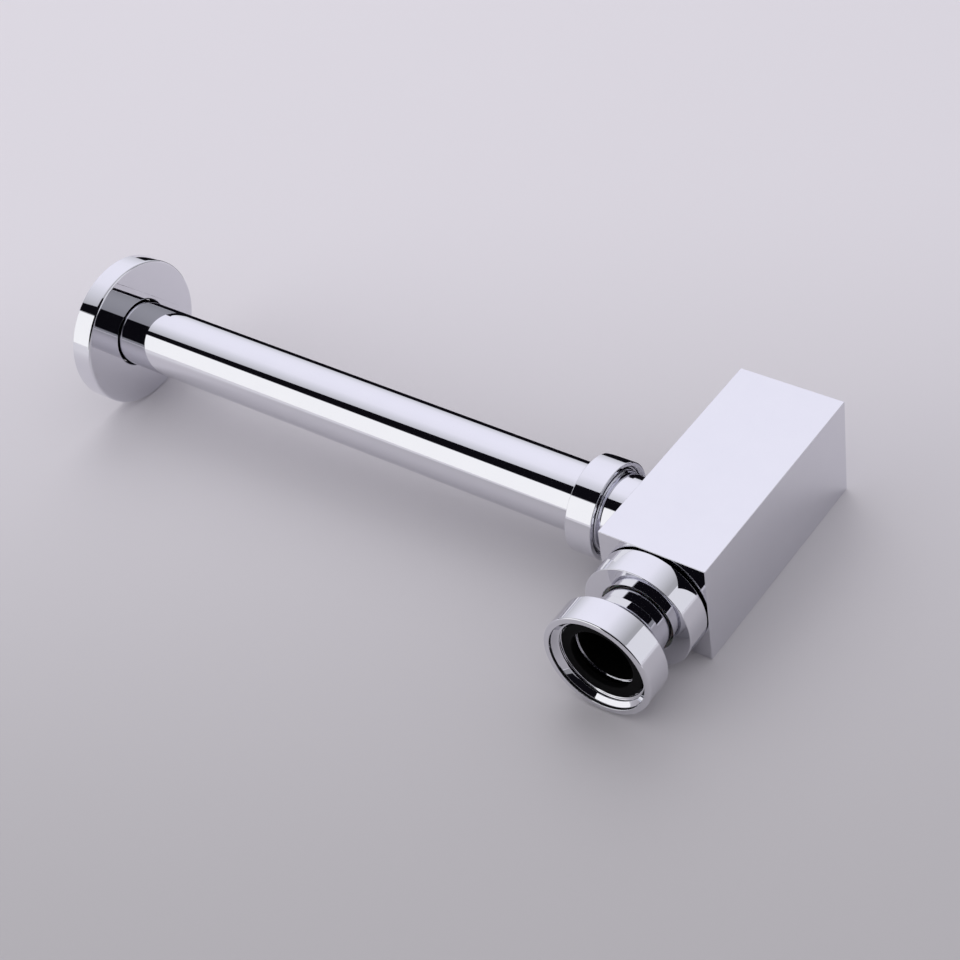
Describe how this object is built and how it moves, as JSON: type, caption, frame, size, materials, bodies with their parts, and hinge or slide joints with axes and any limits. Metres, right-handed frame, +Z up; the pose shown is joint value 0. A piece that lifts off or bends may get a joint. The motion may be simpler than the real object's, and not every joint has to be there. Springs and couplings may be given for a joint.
{
  "type": "bottle trap",
  "caption": "Square-bodied chrome basin bottle trap (P trap): union nut inlet, telescopic inlet tube, slip nuts, horizontal waste tube and sliding round wall flange.",
  "frame": {"origin": "under the middle of the trap's box, on the level of the wall flange's lowest point, with the trap lying on its side", "axes": "+X along the waste tube from the wall flange to the bottle, +Y along the bottle from the inlet to its closed bottom, +Z up off the surface that the trap lies on"},
  "size_m": [0.357, 0.161, 0.073],
  "materials": {
    "chrome_brass": "mirror polished chrome plate on brass",
    "black_rubber": "moulded, slightly dull",
    "white_plastic": "moulded, satin"
  },
  "bodies": {
    "bottle": {"bottle_tube": "chrome_brass", "inlet_end_plate": "chrome_brass", "bottom_end_plate": "chrome_brass", "inlet_spigot": "chrome_brass", "outlet_spigot": "chrome_brass"},
    "inlet_seal": {"inlet_cone_seal": "black_rubber"},
    "inlet_pipe": {"inlet_tube": "chrome_brass", "inlet_tube_collar": "chrome_brass", "union_washer": "black_rubber"},
    "union": {"union_nut": "chrome_brass"},
    "inlet_thrust": {"inlet_slip_washer": "white_plastic"},
    "inlet_nut": {"inlet_slip_nut": "chrome_brass"},
    "outlet_seal": {"outlet_cone_seal": "black_rubber"},
    "waste_pipe": {"waste_tube": "chrome_brass"},
    "flange_grip": {"flange_grip_ring": "black_rubber"},
    "flange": {"wall_flange": "chrome_brass"},
    "outlet_thrust": {"outlet_slip_washer": "white_plastic"},
    "outlet_nut": {"outlet_slip_nut": "chrome_brass"}
  },
  "joints": [
    {"name": "inlet_swivel", "type": "hinge", "parent": "bottle", "child": "inlet_seal", "pos_m": [0.153, -0.0355, 0.0365], "axis": [0, -1, 0], "continuous": true},
    {"name": "inlet_height", "type": "slide", "parent": "inlet_seal", "child": "inlet_pipe", "axis": [0, -1, 0], "range_m": [0, 0.03]},
    {"name": "union_spin", "type": "hinge", "parent": "inlet_pipe", "child": "union", "pos_m": [0.153, -0.0705, 0.0365], "axis": [0, -1, 0], "continuous": true},
    {"name": "inlet_nut_travel", "type": "slide", "parent": "bottle", "child": "inlet_thrust", "axis": [0, -1, 0], "range_m": [0, 0.0058]},
    {"name": "inlet_nut_turn", "type": "hinge", "parent": "inlet_thrust", "child": "inlet_nut", "pos_m": [0.153, -0.0425, 0.0365], "axis": [0, -1, 0], "range_deg": [0, 900]},
    {"name": "outlet_swivel", "type": "hinge", "parent": "bottle", "child": "outlet_seal", "pos_m": [0.1275, 0, 0.0365], "axis": [-1, 0, 0], "continuous": true},
    {"name": "outlet_depth", "type": "slide", "parent": "outlet_seal", "child": "waste_pipe", "axis": [-1, 0, 0], "range_m": [0, 0.015]},
    {"name": "outlet_nut_travel", "type": "slide", "parent": "bottle", "child": "outlet_thrust", "axis": [-1, 0, 0], "range_m": [0, 0.0061]},
    {"name": "outlet_nut_turn", "type": "hinge", "parent": "outlet_thrust", "child": "outlet_nut", "pos_m": [0.106, 0, 0.0365], "axis": [-1, 0, 0], "range_deg": [0, 1440]},
    {"name": "flange_slide", "type": "slide", "parent": "waste_pipe", "child": "flange_grip", "axis": [1, 0, 0], "range_m": [0, 0.25]},
    {"name": "flange_spin", "type": "hinge", "parent": "flange_grip", "child": "flange", "pos_m": [-0.173, 0, 0.0365], "axis": [-1, 0, 0], "continuous": true}
  ],
  "couplings": [
    {"joint": "inlet_nut_travel", "follows": "inlet_nut_turn", "m_per_rad": 0.00036749},
    {"joint": "outlet_nut_travel", "follows": "outlet_nut_turn", "m_per_rad": 0.00023873}
  ]
}
